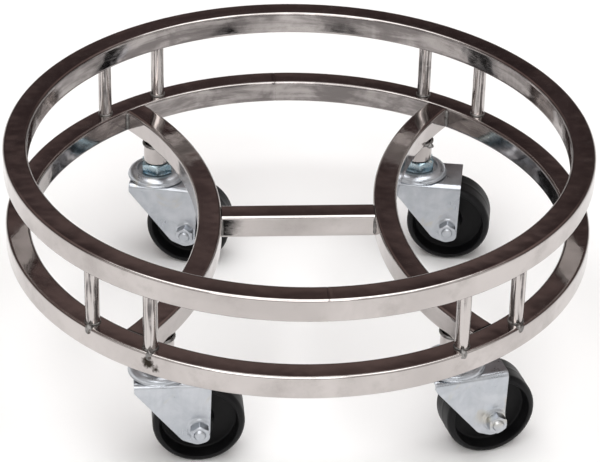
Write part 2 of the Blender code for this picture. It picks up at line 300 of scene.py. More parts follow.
def circle_path(centre, radius, height, steps=SMALL_ROUND_STEPS):
    """Points round a level circle, the last one short of the first."""
    x, y = centre[0], centre[1]
    angles = np.linspace(0, 2 * math.pi, steps, endpoint=False)
    return [(x + radius * math.cos(a), y + radius * math.sin(a), height) for a in angles]


def lathe(name, profile, steps=ROUND_STEPS, closed=True):
    """A profile of (radius, height) turned about Z: a loop, or a line whose ends are capped."""
    rows = [circle_path((0.0, 0.0), radius, height, steps) for radius, height in profile]
    return grid_mesh(name, np.array(rows), wrap_rows=closed)


def rounded_outline(corners, steps=8):
    """Points round a polygon whose corners are (x, y, radius)."""
    points = []
    for index, (x, y, radius) in enumerate(corners):
        before, after = corners[index - 1], corners[(index + 1) % len(corners)]
        into = math.atan2(y - before[1], x - before[0])
        out = math.atan2(after[1] - y, after[0] - x)
        turn = (out - into + math.pi) % (2 * math.pi) - math.pi
        side = math.copysign(1.0, turn)
        reach = radius * math.tan(abs(turn) / 2)
        centre = (
            x - reach * math.cos(into) - side * radius * math.sin(into),
            y - reach * math.sin(into) + side * radius * math.cos(into),
        )
        start = math.degrees(into) - side * 90.0
        end = start + math.degrees(turn)
        points += arc(centre, radius, start, end, steps) if radius else [(x, y)]
    return points


def tube_section():
    """Square tube outline as (across, up): rounded corners, and flats that dip in their middle."""
    reach = HALF - CORNER
    middle = [reach * share for share in (0.6, 0.2, -0.2, -0.6)]
    flat = [reach - SUPPORT] + middle + [-(reach - SUPPORT)]
    side = arc((reach, reach), CORNER, 90.0, 0.0, CORNER_STEPS)
    side += [(HALF - CROWN * (1 - (up / reach) ** 2), up) for up in flat]
    points = []
    for quarter in range(4):
        cos, sin = (1, 0, -1, 0)[quarter], (0, -1, 0, 1)[quarter]
        points += [(x * cos - y * sin, x * sin + y * cos) for x, y in side]
    return np.array(points)


# ---------------------------------------------------------------- frame tubes

def ring_mesh(name, height):
    """A tube bent right round, with a shallow ground groove where its ends are welded."""
    seam = math.radians(RING_SEAMS[name])
    half = SEAM_HALF / RING_MIDDLE
    section = tube_section()
    turns = [(-half, 0.0), (-half / 2, SEAM_DEPTH / 2)]
    turns += [(0.0, SEAM_DEPTH), (half / 2, SEAM_DEPTH / 2)]
    turns += [(angle, 0.0) for angle in np.linspace(half, 2 * math.pi - 2 * half, RING_STEPS)]
    rows = []
    for turn, depth in turns:
        across, up = (section * (1 - depth / HALF)).T
        radius = RING_MIDDLE + across
        x, y = radius * math.cos(seam + turn), radius * math.sin(seam + turn)
        rows.append(np.stack([x, y, height + up], -1))
    return grid_mesh(name, np.array(rows), wrap_rows=True)


def bow_limit(radius):
    """Half the angle that a bowed line of that radius sweeps before it meets the lower ring."""
    inside = RING_INSIDE - COPE_GAP
    return math.acos((BOW_CENTRE ** 2 + radius ** 2 - inside ** 2) / (2 * BOW_CENTRE * radius))


def bow_point(side, radius, angle, up):
    """A point on a bowed line, before the braces' turn."""
    x = side * (BOW_CENTRE - radius * math.cos(angle))
    return (x, radius * math.sin(angle), LOWER_Z + up)


def bar_reach(across):
    """How far the cross bar runs to each side before it meets a brace's bowed face."""
    return BOW_CENTRE - math.sqrt((BOW_RADIUS + HALF) ** 2 - across ** 2)


def brace_mesh(name, side):
    """A bowed tube whose ends are coped to the inside of the lower ring."""
    columns = []
    for across, up in tube_section():
        radius = BOW_RADIUS + across
        limit = bow_limit(radius)
        angles = np.linspace(-limit, limit, BOW_STEPS)
        columns.append([bow_point(side, radius, angle, up) for angle in angles])
    return grid_mesh(name, np.array(columns).transpose(1, 0, 2))


def bar_mesh(name):
    """The straight cross bar, coped to the bowed faces of both braces."""
    rows = []
    for share in np.linspace(-1, 1, BAR_STEPS + 1):
        rows.append([
            (share * (bar_reach(across) - COPE_GAP), across, LOWER_Z + up)
            for across, up in tube_section()
        ])
    return grid_mesh(name, np.array(rows))


def make_tubes(steel):
    """Both rings, both braces and the cross bar."""
    def add(node, mesh, sharp, place=None):
        name = f"{node}_tube"
        piece(name, mesh, steel, "frame", "frame_steel", node, sharp=sharp, place=place)

    for node in RING_SEAMS:
        add(node, ring_mesh(node, box_centre(node).z), NEVER_SHARP)
    for node, side in (("brace_left", -1), ("brace_right", 1)):
        add(node, brace_mesh(node, side), SHARP_TUBE_END, BRACE_TURN)
    add("cross_bar", bar_mesh("cross_bar"), SHARP_TUBE_END, BRACE_TURN)


def rod_measures(node):
    """A rod's middle, radius, foot height and head height."""
    low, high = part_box(node)
    return (low + high) / 2, (high.y - low.y) / 2, low.z, high.z


def make_rods(steel):
    """The eight upright rods, each sunk a little into both rings."""
    for node in RODS:
        centre, radius, foot, head = rod_measures(node)
        heights = np.linspace(foot - ROD_SINK, head + ROD_SINK, 12)
        mesh = lathe(node, [(radius, z) for z in heights], SMALL_ROUND_STEPS, closed=False)
        place = Matrix.Translation((centre.x, centre.y, 0.0))
        piece(f"{node}_bar", mesh, steel, "frame", "frame_steel", node, place=place)


# ---------------------------------------------------------------- welds

def sideways(along):
    """A unit vector across a bead's direction, level unless the bead runs upright."""
    if abs(along.z) > 0.9:
        return along.orthogonal().normalized()
    return along.cross(Vector((0, 0, 1))).normalized()


def bead(path, size, seed, closed=False):
    """A weld bead of (radius, ripple) along a path: a lumpy tube with the ripples of its run."""
    radius, ripple = size
    path = [Vector(point) for point in path]
    count = len(path)
    rows = []
    travelled = 0.0
    for index, point in enumerate(path):
        after = path[(index + 1) % count] if closed or index < count - 1 else point
        before = path[index - 1] if closed or index > 0 else point
        along = (after - before).normalized()
        if index:
            travelled += (point - path[index - 1]).length
        aside = sideways(along)
        upward = aside.cross(along)
        wave = abs(math.sin(math.pi * travelled / ripple))
        lump = 0.25 * noise.noise(point * 350.0 + Vector((seed, 0, 0)))
        from_end = min(index, count - 1 - index) / (count * 0.12)
        taper = 1.0 if closed else min(1.0, 0.35 + 0.65 * math.sqrt(from_end))
        thick = radius * taper * (0.86 + 0.22 * wave + lump)
        row = []
        for step in range(BEAD_SIDES):
            angle = 2 * math.pi * step / BEAD_SIDES
            row.append(tuple(point + thick * (math.cos(angle) * aside + math.sin(angle) * upward)))
        rows.append(row)
    return grid_mesh("bead", np.array(rows), wrap_rows=closed)


def blob(centre, size, seed):
    """A lumpy drop of weld metal with its half widths along X, Y and Z."""
    bm = bmesh.new()
    bmesh.ops.create_icosphere(bm, subdivisions=3, radius=1.0)
    for vertex in bm.verts:
        lump = 1.0 + 0.30 * noise.noise(vertex.co * 1.4 + Vector((seed, 1.7 * seed, 0.0)))
        vertex.co = vertex.co * Vector(size) * lump + centre
    mesh = bpy.data.meshes.new("blob")
    bm.to_mesh(mesh)
    bm.free()
    return mesh


def add_welds(name, meshes, weld):
    """Joins weld meshes into one piece of the frame."""
    piece(name, joined(name, meshes), weld, "frame", "frame_steel", sharp=SHARP_TUBE_END)


def make_rod_welds(weld):
    """A thin fillet round both ends of every rod, and a tack beside its foot."""
    meshes = []
    for node in RODS:
        centre, radius, foot, head = rod_measures(node)
        seed = 10 * centre.x + 100 * centre.y
        meshes.append(bead(circle_path(centre, radius, foot), ROD_FOOT_BEAD, seed, True))
        meshes.append(bead(circle_path(centre, radius, head), ROD_HEAD_BEAD, seed + 5, True))
        outward = Vector((centre.x, centre.y, 0.0)).normalized()
        aside = Vector((-outward.y, outward.x, 0.0)) * math.copysign(1.0, centre.x * centre.y)
        tack = outward * (RING_OUTSIDE - TACK_INSET) + aside * TACK_ASIDE
        tack.z = foot - TACK_DROP
        meshes.append(blob(tack, TACK_SIZE, seed))
    add_welds("rod_welds", meshes, weld)


def side_runs(point_at):
    """Paths down the two sides and along the underside of a square tube's end."""
    reach = HALF - CORNER
    low = -HALF + BEAD_SINK
    heights, widths = np.linspace(reach, -reach, 16), np.linspace(-reach, reach, 20)
    runs = [[point_at(across, up) for up in heights] for across in (-HALF, HALF)]
    return runs + [[point_at(across, low) for across in widths]]


def make_tube_welds(weld):
    """Beads at the braces' ends and the cross bar's ends; their tops are ground flush."""
    meshes = []
    for side in (-1, 1):
        for end in (-1, 1):
            def brace_end(across, up):
                radius = BOW_RADIUS + across
                return BRACE_TURN @ Vector(bow_point(side, radius, end * bow_limit(radius), up))

            for index, run in enumerate(side_runs(brace_end)):
                meshes.append(bead(run, BRACE_BEAD, 10 * side + 3 * end + index))

        def bar_end(across, up):
            return BRACE_TURN @ Vector((side * bar_reach(across), across, LOWER_Z + up))

        for index, run in enumerate(side_runs(bar_end)):
            meshes.append(bead(run, BAR_BEAD, 30 * side + index))
    add_welds("tube_welds", meshes, weld)


def make_boss_welds(weld):
    """The bead round the top of each stem boss, under its brace, with one heavier stop."""
    meshes = []
    for corner in CORNERS:
        low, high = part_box(f"stem_boss_{corner}")
        centre = (low + high) / 2
        radius = (high.x - low.x) / 2
        seed = 40 * centre.x + 7 * centre.y
        path = circle_path(centre, radius, high.z - BEAD_SINK, 72)
        meshes.append(bead(path, BOSS_BEAD, seed, True))
        stop = centre + Vector((radius * 0.8, math.copysign(radius * 0.7, -centre.y), 0.0))
        stop.z = high.z - STOP_DROP
        meshes.append(blob(stop, STOP_SIZE, seed))
    add_welds("boss_welds", meshes, weld)


# ---------------------------------------------------------------- casters

def hex_mesh(name, flats, low, high, bore, chamfer_high=True):
    """A hexagon nut or bolt head about Z, with its corners turned down to a cone at its ends."""
    steps = 24 * 6
    inner = flats / 2 * HEX_FLAT_SHARE
    rim = bore + HEX_BORE_EDGE
    rows = [[] for _ in range(6)]
    for step in range(steps):
        angle = 2 * math.pi * step / steps
        face = (angle + math.pi / 6) % (math.pi / 3) - math.pi / 6
        radius = min(flats / 2 / math.cos(face), flats / math.sqrt(3) - HEX_CORNER_CUT)
        drop = (radius - inner) * math.tan(HEX_CHAMFER)
        top = high - (drop if chamfer_high else 0.0)
        line = [(rim, low), (inner, low), (radius, low + drop)]
        line += [(radius, top), (inner, high), (rim, high)]
        for row, (r, z) in zip(rows, line):
            row.append((r * math.cos(angle), r * math.sin(angle), z))
    if bore:
        for end, shift in ((5, -HEX_BORE_EDGE), (0, HEX_BORE_EDGE)):
            rows.append([(bore * x / rim, bore * y / rim, z + shift) for x, y, z in rows[end]])
    return grid_mesh(name, np.array(rows), wrap_rows=bool(bore))


def threaded_profile(radius, low, high, pitch):
    """The outer side of a threaded rod as even grooves, top to bottom."""
    root = radius - THREAD_DEPTH * pitch
    points = []
    count = max(1, int((high - low) / pitch))
    for index in range(count):
        z = high - index * pitch
        points += [(root, z), (radius, z - 0.4 * pitch), (radius, z - 0.55 * pitch)]
    points.append((root, high - count * pitch))
    return points


def fork_outline(trail, axle_z, top):
    """The fork leg's side outline as (x, z), carried on a little above the fold."""
    above = top + 0.004
    return rounded_outline([
        (FORK_FRONT, above, 0.0),
        (trail + FORK_REAR, above, 0.0),
        *((trail + along, axle_z + up, radius) for along, up, radius in FORK_LEG),
        (FORK_FRONT, top - FORK_NOSE_DROP, FORK_NOSE_RADIUS),
    ])


def span_at(outline, z):
    """Lowest and highest x of a closed outline at height z."""
    crossings = []
    for (x0, z0), (x1, z1) in zip(outline, outline[1:] + outline[:1]):
        if (z0 - z) * (z1 - z) <= 0 and z0 != z1:
            crossings.append(x0 + (x1 - x0) * (z - z0) / (z1 - z0))
    return min(crossings), max(crossings)


def fork_rows(top, bottom):
    """The folded section's outer side as (across, up), from leg to leg over the top."""
    bend_z = top - FORK_BEND
    inset = FORK_HALF - FORK_BEND
    fall = 1 - np.cos(np.linspace(0.0, math.pi / 2, 66))
    leg = [(-FORK_HALF, bottom + 0.00002 + (bend_z - bottom) * share) for share in fall]
    bend = arc((-inset, bend_z), FORK_BEND, 180.0, 90.0, 8)[1:]
    over = [(across, top) for across in np.linspace(-inset, inset, 26)[1:-1]]
    left = leg + bend
    return left + over + [(-across, up) for across, up in reversed(left)]


def emboss_lift(distance):
    """How far the leg stands out at a distance from the axle: a flat seat with soft flanks."""
    share = (EMBOSS_RADIUS - distance) / (EMBOSS_RADIUS - EMBOSS_FLAT)
    share = min(1.0, max(0.0, share))
    return EMBOSS_HEIGHT * share * share * (3 - 2 * share)


def fork_mesh(trail, axle_z, top):
    """Folded sheet fork with a raised seat round the axle on each leg, made as a sheet first."""
    outline = fork_outline(trail, axle_z, top)
    bottom = min(z for _, z in outline)
    rows = []
    for across, up in fork_rows(top, bottom):
        row = []
        for x in np.linspace(*span_at(outline, min(up, top)), FORK_COLUMNS):
            lift = emboss_lift(math.hypot(x - trail, up - axle_z))
            row.append((x, across + math.copysign(lift, across), up))
        rows.append(row)
    mesh = grid_mesh("fork", np.array(rows), wrap_columns=False, capped=False)
    highest = max(mesh.polygons, key=lambda face: face.center.z)
    if highest.normal.z < 0:
        mesh.flip_normals()
    return thickened(mesh)


def thickened(mesh):
    """Gives a sheet its thickness inwards and breaks its edges."""
    body = bpy.data.objects.new("sheet", mesh)
    bpy.context.scene.collection.objects.link(body)
    wall = body.modifiers.new("Wall", "SOLIDIFY")
    wall.thickness = FORK_SHEET
    wall.offset = -1.0
    edge = body.modifiers.new("Edge", "BEVEL")
    edge.width = FORK_EDGE
    edge.segments = 2
    edge.limit_method = "ANGLE"
    edge.angle_limit = math.radians(50.0)
    bpy.context.view_layer.update()
    evaluated = body.evaluated_get(bpy.context.evaluated_depsgraph_get())
    made = bpy.data.meshes.new_from_object(evaluated)
    bpy.data.objects.remove(body, do_unlink=True)
    return made


def boss_mesh(low, high, radius):
    """A plain sleeve with its lower edge broken."""
    profile = [(radius, high), (radius, low + BOSS_EDGE), (radius - BOSS_EDGE, low)]
    return lathe("boss", profile + [(BOSS_BORE, low), (BOSS_BORE, high)])


def cap_mesh(low, high, radius, floor):
    """Pressed race cap: rolled lip, round shoulder, and a sunk middle for the nut."""
    lip = radius - CAP_FLANGE
    outer = [(CAP_BORE, floor), (CAP_WELL, floor)]
    outer += arc((CAP_WELL, floor + CAP_FILLET), CAP_FILLET, -90.0, -25.0, 4)[1:]
    outer += arc((CAP_CROWN, high - CAP_FILLET), CAP_FILLET, 160.0, 90.0, 4)
    reach, drop = lip - CAP_CROWN, high - low - CAP_FOOT
    for turn in np.radians(np.linspace(0.0, CAP_SHOULDER_END, 20))[1:]:
        outer.append((CAP_CROWN + reach * math.sin(turn), high - drop * (1 - math.cos(turn))))
    outer += [(lip, low + 0.0012), (lip + 0.0002, low + 0.0008)]
    outer += arc((radius - CAP_LIP, low + CAP_LIP), CAP_LIP, 60.0, -90.0, 5)
    under, inside = high - CAP_SHEET, radius - CAP_SHEET
    inner = [(inside, low), (inside - 0.0003, low + 0.0010), (radius - 0.0038, under)]
    inner += [(0.0135, under), (0.0118, floor - CAP_SHEET), (CAP_BORE, floor - CAP_SHEET)]
    return lathe("cap", outer + inner)


def stem_mesh(low, high, shoulder, under):
    """Threaded stud with a round rivet head below the fork."""
    rim = under - STUD_HEAD_EDGE
    profile = [(STUD_RADIUS - 0.0010, high)]
    profile += threaded_profile(STUD_RADIUS, shoulder, high - 0.0006, STUD_PITCH)
    profile += [(STUD_SHANK, shoulder), (STUD_SHANK, under)]
    profile += [(STUD_HEAD - 0.0002, under), (STUD_HEAD, rim)]
    squash = (rim - low) / (STUD_HEAD * math.sin(math.radians(STUD_HEAD_ARC)))
    dome = arc((0.0, 0.0), STUD_HEAD, 0.0, -STUD_HEAD_ARC, 8)[1:]
    profile += [(r, rim + z * squash) for r, z in dome]
    return lathe("stem", profile, 64, closed=False)


def balls_mesh(centre_radius, height, radius):
    """Loose balls in their ring."""
    bm = bmesh.new()
    for x, y, z in circle_path((0.0, 0.0), centre_radius, height, BALL_COUNT):
        spot = Matrix.Translation((x, y, z))
        bmesh.ops.create_icosphere(bm, subdivisions=2, radius=radius, matrix=spot)
    mesh = bpy.data.meshes.new("balls")
    bm.to_mesh(mesh)
    bm.free()
    return mesh


def axle_bolt_mesh():
    """Axle bolt with its head at one end and its thread just past the nut at the other."""
    head = hex_mesh("head", BOLT_FLATS, -BOLT_SEAT - BOLT_HEAD, -BOLT_SEAT, 0.0, chamfer_high=False)
    end = BOLT_SEAT + BOLT_NUT + BOLT_TAIL
    shank = [(0.0024, end), (0.0028, end - BOLT_TIP)]
    shank += threaded_profile(BOLT_RADIUS, BOLT_SEAT - 0.003, end - BOLT_TIP, BOLT_PITCH)
    shank += [(BOLT_SHANK, BOLT_SEAT - 0.004), (BOLT_SHANK, -BOLT_SEAT)]
    shank = lathe("shank", shank, SMALL_ROUND_STEPS, closed=False)
    return joined("axle_bolt", [head, shank])


def sleeve_mesh():
    """The spacer tube between the fork's legs."""
    reach = FORK_HALF - FORK_SHEET
    profile = [(SLEEVE_RADIUS, reach), (SLEEVE_RADIUS, -reach)]
    profile += [(SLEEVE_BORE, -reach), (SLEEVE_BORE, reach)]
    return lathe("sleeve", profile, SMALL_ROUND_STEPS)


def wheel_mesh(radius):
    """Moulded wheel: rounded tread with a faint parting line, rim, sunk web and hub."""
    radius -= RIDGE
    rim = radius - WHEEL_RIM
    foot = WHEEL_WEB + 0.0014
    side = [(WHEEL_BORE, HUB_HALF - 0.0004), (WHEEL_BORE + 0.0004, HUB_HALF)]
    side += arc((HUB_RADIUS, HUB_HALF - WHEEL_EDGE), WHEEL_EDGE, 90.0, 0.0, 4)
    side += arc((0.0095, foot), WHEEL_FILLET, 180.0, 270.0, 5)
    side += [(0.0120, WHEEL_WEB + 0.0002), (0.0160, WHEEL_WEB + 0.0002)]
    side += arc((rim - 0.0022, foot), WHEEL_FILLET, 270.0, 350.0, 5)
    side += arc((rim + 0.0002, WHEEL_HALF - WHEEL_EDGE), WHEEL_EDGE, 170.0, 90.0, 4)
    shoulder = (radius - WHEEL_SHOULDER, WHEEL_HALF - WHEEL_SHOULDER)
    side += arc(shoulder, WHEEL_SHOULDER, 90.0, 0.0, 12)
    side += [(radius, 0.0030), (radius, 0.00025), (radius + RIDGE, 0.0)]
    profile = side + [(r, -z) for r, z in reversed(side[:-1])]
    return lathe("wheel", profile, 144)


def make_caster(corner, metals, black):
    """All of one caster's pieces, made about its stem or axle and then put in place."""
    zinc, blue_zinc, steel, bearing = metals
    stem = Vector(JOINTS[f"swivel_{corner}"]["pos_m"])
    axle = Vector(JOINTS[f"roll_{corner}"]["pos_m"])
    trail = (axle - stem).to_2d().length
    heading = math.atan2(axle.y - stem.y, axle.x - stem.x)
    under_stem = Matrix.Translation((stem.x, stem.y, 0.0))
    upright = under_stem @ BRACE_TURN
    stand = under_stem @ Matrix.Rotation(heading, 4, "Z")
    on_side = Matrix.Rotation(math.radians(90.0), 4, "X")
    across = stand @ Matrix.Translation((trail, 0.0, axle.z)) @ on_side
    fixed, swivel, roll = "frame", f"swivel_{corner}", f"wheel_{corner}"

    def add(node, mesh, material, body, slot, place, sharp=SHARP_EDGE):
        node = f"{node}_{corner}"
        piece(f"{node}_fine", mesh, material, body, slot, node, sharp=sharp, place=place)

    low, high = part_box(f"stem_boss_{corner}")
    boss = boss_mesh(low.z, high.z, (high.x - low.x) / 2)
    add("stem_boss", boss, steel, fixed, "frame_steel", upright)

    low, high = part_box(f"race_cap_{corner}")
    nut_low, nut_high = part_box(f"stem_nut_{corner}")
    cap = cap_mesh(low.z, high.z, (high.x - low.x) / 2, nut_low.z - CAP_NUT_GAP)
    add("race_cap", cap, zinc, fixed, "bright_zinc", upright)

    nut = hex_mesh("nut", STEM_NUT_FLATS, nut_low.z, nut_high.z, STEM_NUT_BORE)
    add("stem_nut", nut, blue_zinc, fixed, "blue_zinc", upright, SHARP_HEXAGON)

    low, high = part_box(f"stem_{corner}")
    stud = stem_mesh(low.z, high.z, nut_low.z, stem.z - FORK_SHEET - STUD_HEAD_GAP)
    add("stem", stud, zinc, fixed, "bright_zinc", upright)

    fork = fork_mesh(trail, axle.z, stem.z)
    add("fork", fork, zinc, swivel, "bright_zinc", stand, SHARP_FORK)

    low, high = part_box(f"ball_ring_{corner}")
    ball = (high.z - low.z) / 2
    balls = balls_mesh((high.x - low.x) / 2 - ball, (low.z + high.z) / 2, ball)
    add("ball_ring", balls, bearing, swivel, "bearing_steel", stand)

    add("axle_bolt", axle_bolt_mesh(), zinc, swivel, "bright_zinc", across, SHARP_HEXAGON)
    nut = hex_mesh("axle_nut", BOLT_FLATS, BOLT_SEAT, BOLT_SEAT + BOLT_NUT, BOLT_RADIUS)
    add("axle_nut", nut, zinc, swivel, "bright_zinc", across, SHARP_HEXAGON)
    add("axle_sleeve", sleeve_mesh(), zinc, swivel, "bright_zinc", across)

    low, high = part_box(f"wheel_{corner}")
    add("wheel", wheel_mesh((high.z - low.z) / 2), black, roll, "black_nylon", across)


# ---------------------------------------------------------------- materials

class Look:
    """A node material built up by short calls."""

    def __init__(self, name, metallic):
        self.material = bpy.data.materials.new(name)
        self.material.use_nodes = True
        self.tree = self.material.node_tree
        self.shader = self.tree.nodes["Principled BSDF"]
        self.shader.inputs["Metallic"].default_value = metallic
        self.where = self.tree.nodes.new("ShaderNodeTexCoord").outputs["Object"]

    def node(self, kind, inputs, **settings):
        """Adds a node, links the inputs that are sockets and sets the others."""
        made = self.tree.nodes.new(kind)
        for key, value in settings.items():
            setattr(made, key, value)
        for key, value in inputs.items():
            if isinstance(value, bpy.types.NodeSocket):
                self.tree.links.new(value, made.inputs[key])
            else:
                made.inputs[key].default_value = value
        return made

    def stretched(self, scale):
        """Object coordinates scaled along each axis."""
        made = self.node("ShaderNodeMapping", {"Vector": self.where, "Scale": scale})
        return made.outputs["Vector"]

    def noise(self, scale, detail=3.0, rough=0.55, vector=None, distortion=0.0):
        made = self.node("ShaderNodeTexNoise", {
            "Vector": self.where if vector is None else vector,
            "Scale": scale, "Detail": detail, "Roughness": rough, "Distortion": distortion,
        })
        return made.outputs["Fac"]

    def spread(self, value, low, high, to_low=0.0, to_high=1.0):
        """Maps one range softly on another."""
        made = self.node("ShaderNodeMapRange", {
            "Value": value, "From Min": low, "From Max": high, "To Min": to_low, "To Max": to_high,
        }, interpolation_type="SMOOTHSTEP")
        return made.outputs["Result"]

    def combined(self, operation, first, second):
        made = self.node("ShaderNodeMath", {0: first, 1: second}, operation=operation)
        return made.outputs[0]

    def plus(self, first, second):
        return self.combined("ADD", first, second)

    def times(self, first, second):
        return self.combined("MULTIPLY", first, second)

    def vector(self, operation, inputs):
        return self.node("ShaderNodeVectorMath", inputs, operation=operation).outputs

    def mixed(self, share, first, second):
        """Mixes two colours, each a socket or a plain (red, green, blue)."""
        first, second = (
            colour if isinstance(colour, bpy.types.NodeSocket) else (*colour, 1.0)
            for colour in (first, second)
        )
        made = self.node("ShaderNodeMix", {}, data_type="RGBA")
        for key, value in ((0, share), (6, first), (7, second)):
            if isinstance(value, bpy.types.NodeSocket):
                self.tree.links.new(value, made.inputs[key])
            else:
                made.inputs[key].default_value = value
        return made.outputs[2]

    def bump(self, height, strength, distance, under=None):
        inputs = {"Height": height, "Strength": strength, "Distance": distance}
        if under is not None:
            inputs["Normal"] = under
        return self.node("ShaderNodeBump", inputs).outputs["Normal"]

    def finish(self, colour, roughness, normal):
        self.tree.links.new(colour, self.shader.inputs["Base Color"])
        self.tree.links.new(roughness, self.shader.inputs["Roughness"])
        self.tree.links.new(normal, self.shader.inputs["Normal"])
        return self.material


def inner_faces(look):
    """1 on the inner faces of the two rings, where shade is painted, and 0 elsewhere."""
    level = look.vector("MULTIPLY", {0: look.where, 1: (1.0, 1.0, 0.0)})[0]
    radius = look.vector("LENGTH", {0: level})["Value"]
    beyond = look.spread(radius, RING_INSIDE + 0.0010, RING_INSIDE + 0.0003)
    return look.times(beyond, look.spread(radius, RING_INSIDE - 0.0010, RING_INSIDE - 0.0003))


def burn_mark(look):
    """1 on the ragged burn beside the front left rods and 0 elsewhere."""
    low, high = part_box("rod_front_left_inner")
    middle = (low + high) / 2
    outward = Vector((middle.x, middle.y, 0.0)).normalized()
    aside, up = BURN_PLACE
    centre = outward * RING_OUTSIDE + Vector((aside, 0.0, low.z + up))
    burn = 0.0
    for offset, size in BURN_SPOTS:
        spot = tuple(centre + Vector(offset))
        near = look.vector("DISTANCE", {0: look.where, 1: spot})["Value"]
        ragged = look.plus(near, look.spread(look.noise(420.0, 3.0), 0.2, 0.8, -0.0009, 0.0009))
        mark = look.spread(ragged, 0.50 * size, size, 1.0, 0.0)
        burn = look.combined("MAXIMUM", mark, burn)
    return burn


def polished_steel():
    """Mirror-like stainless tube: buffing haze, smudges, scuffs, painted shade on the inner faces
    and one burn.
    """
    look = Look("polished_steel", 1.0)
    cloud = look.noise(16.0, 4.0, 0.6, distortion=0.6)
    smudge = look.spread(look.noise(55.0, 5.0, 0.65), 0.48, 0.72)
    scratch = look.noise(900.0, 2.0, 0.5, look.stretched((0.25, 0.25, 1.0)))
    colour = look.mixed(look.spread(cloud, 0.3, 0.7), *STEEL_TONES)
    colour = look.mixed(look.times(smudge, 0.45), colour, STEEL_SMUDGE)
    # Painted shade: streaks and patches that darken the rings' inner faces like the shaded floor
    # they reflect.
    streaky = look.noise(60.0, 5.0, 0.65, look.stretched((0.35, 0.35, 3.0)), distortion=0.5)
    inner_shade_patches = look.plus(streaky, look.noise(34.0, 4.0, 0.62, distortion=0.8))
    inner_shade_patches = look.spread(inner_shade_patches, 0.80, 1.16, 0.15, 1.0)
    colour = look.mixed(look.times(inner_faces(look), inner_shade_patches), colour, STEEL_INNER_SHADE)
    burn = burn_mark(look)
    colour = look.mixed(burn, colour, STEEL_BURN)
    roughness = look.spread(scratch, 0.35, 0.70, 0.075, 0.135)
    roughness = look.plus(roughness, look.times(smudge, 0.07))
    roughness = look.plus(roughness, look.times(burn, 0.5))
    waves = look.bump(look.noise(46.0, 2.0, 0.45), 0.45, 0.0010)
    fine = look.bump(scratch, 0.05, 0.00010, waves)
    return look.finish(colour, roughness, fine)


def rod_steel():
    """Drawn stainless rod: bright, with fine drawing lines along it, painted dark along their
    length as reflection streaks that vary in patches.
    """
    look = Look("rod_steel", 1.0)
    # Painted reflection: dark streaks along the rod stand in for the dark surroundings it reflects;
    # the same lines also roughen and bump it.
    lines = look.spread(look.noise(560.0, 2.0, 0.5, look.stretched((1.0, 1.0, 0.05))), 0.47, 0.60)
    streak_strength = look.spread(look.noise(150.0, 4.0, 0.6), 0.30, 0.62, 0.45, 1.0)
    painted_streaks = look.times(lines, streak_strength)
    colour = look.mixed(painted_streaks, (0.520, 0.488, 0.474), (0.130, 0.120, 0.118))
    roughness = look.spread(look.noise(300.0, 3.0), 0.3, 0.7, 0.10, 0.20)
    roughness = look.plus(roughness, look.times(lines, 0.16))
    return look.finish(colour, roughness, look.bump(lines, 0.10, 0.00010))


def weld_metal():
    """Unground weld: dull, rippled, tinted straw and blue-grey by heat."""
    look = Look("weld_metal", 1.0)
    tint = look.noise(260.0, 3.0)
    colour = look.mixed(look.spread(tint, 0.35, 0.65), (0.15, 0.146, 0.142), (0.30, 0.290, 0.282))
    dark = look.spread(look.noise(480.0, 2.0), 0.55, 0.70)
    colour = look.mixed(dark, colour, (0.085, 0.070, 0.062))
    roughness = look.spread(tint, 0.3, 0.7, 0.34, 0.56)
    return look.finish(colour, roughness, look.bump(look.noise(1400.0, 3.0), 0.35, 0.00025))


def bright_zinc():
    """Satin zinc plate on pressed sheet: cool grey, with cloudy stains and fine pressing marks."""
    look = Look("bright_zinc", 1.0)
    cloud = look.noise(70.0, 5.0, 0.62, distortion=0.4)
    clear = look.spread(cloud, 0.32, 0.68)
    colour = look.mixed(clear, (0.425, 0.450, 0.485), (0.545, 0.565, 0.597))
    stain = look.spread(look.noise(38.0, 4.0, 0.6, distortion=1.2), 0.60, 0.74)
    colour = look.mixed(look.times(stain, 0.55), colour, (0.520, 0.475, 0.370))
    streak = look.spread(look.noise(260.0, 3.0, 0.55, look.stretched((1.0, 1.0, 0.12))), 0.42, 0.70)
    colour = look.mixed(look.times(streak, 0.22), colour, (0.400, 0.420, 0.440))
    grain = look.noise(1100.0, 2.0, 0.5, look.stretched((1.0, 1.0, 0.22)))
    roughness = look.spread(cloud, 0.25, 0.75, 0.27, 0.40)
    roughness = look.plus(roughness, look.spread(grain, 0.3, 0.7, -0.03, 0.04))
    dents = look.bump(look.noise(120.0, 2.0, 0.5), 0.25, 0.00040)
    return look.finish(colour, roughness, look.bump(grain, 0.12, 0.00008, dents))


def blue_zinc():
    """Blue passivated zinc, with the faint yellow and violet of its film."""
    look = Look("blue_zinc", 1.0)
    film = look.noise(150.0, 3.0, 0.5, distortion=0.8)
    colour = look.mixed(look.spread(film, 0.30, 0.55), (0.270, 0.420, 0.500), (0.480, 0.580, 0.620))
    colour = look.mixed(look.spread(film, 0.58, 0.75), colour, (0.600, 0.585, 0.450))
    roughness = look.spread(look.noise(300.0, 3.0), 0.3, 0.7, 0.20, 0.36)
    return look.finish(colour, roughness, look.bump(look.noise(900.0, 2.0), 0.15, 0.00010))


def bearing_steel():
    """Greased bearing balls."""
    look = Look("bearing_steel", 1.0)
    grease = look.noise(420.0, 3.0)
    colour = look.mixed(look.spread(grease, 0.4, 0.65), (0.52, 0.52, 0.53), (0.20, 0.16, 0.10))
    roughness = look.spread(grease, 0.3, 0.7, 0.12, 0.38)
    return look.finish(colour, roughness, look.bump(grease, 0.10, 0.00010))


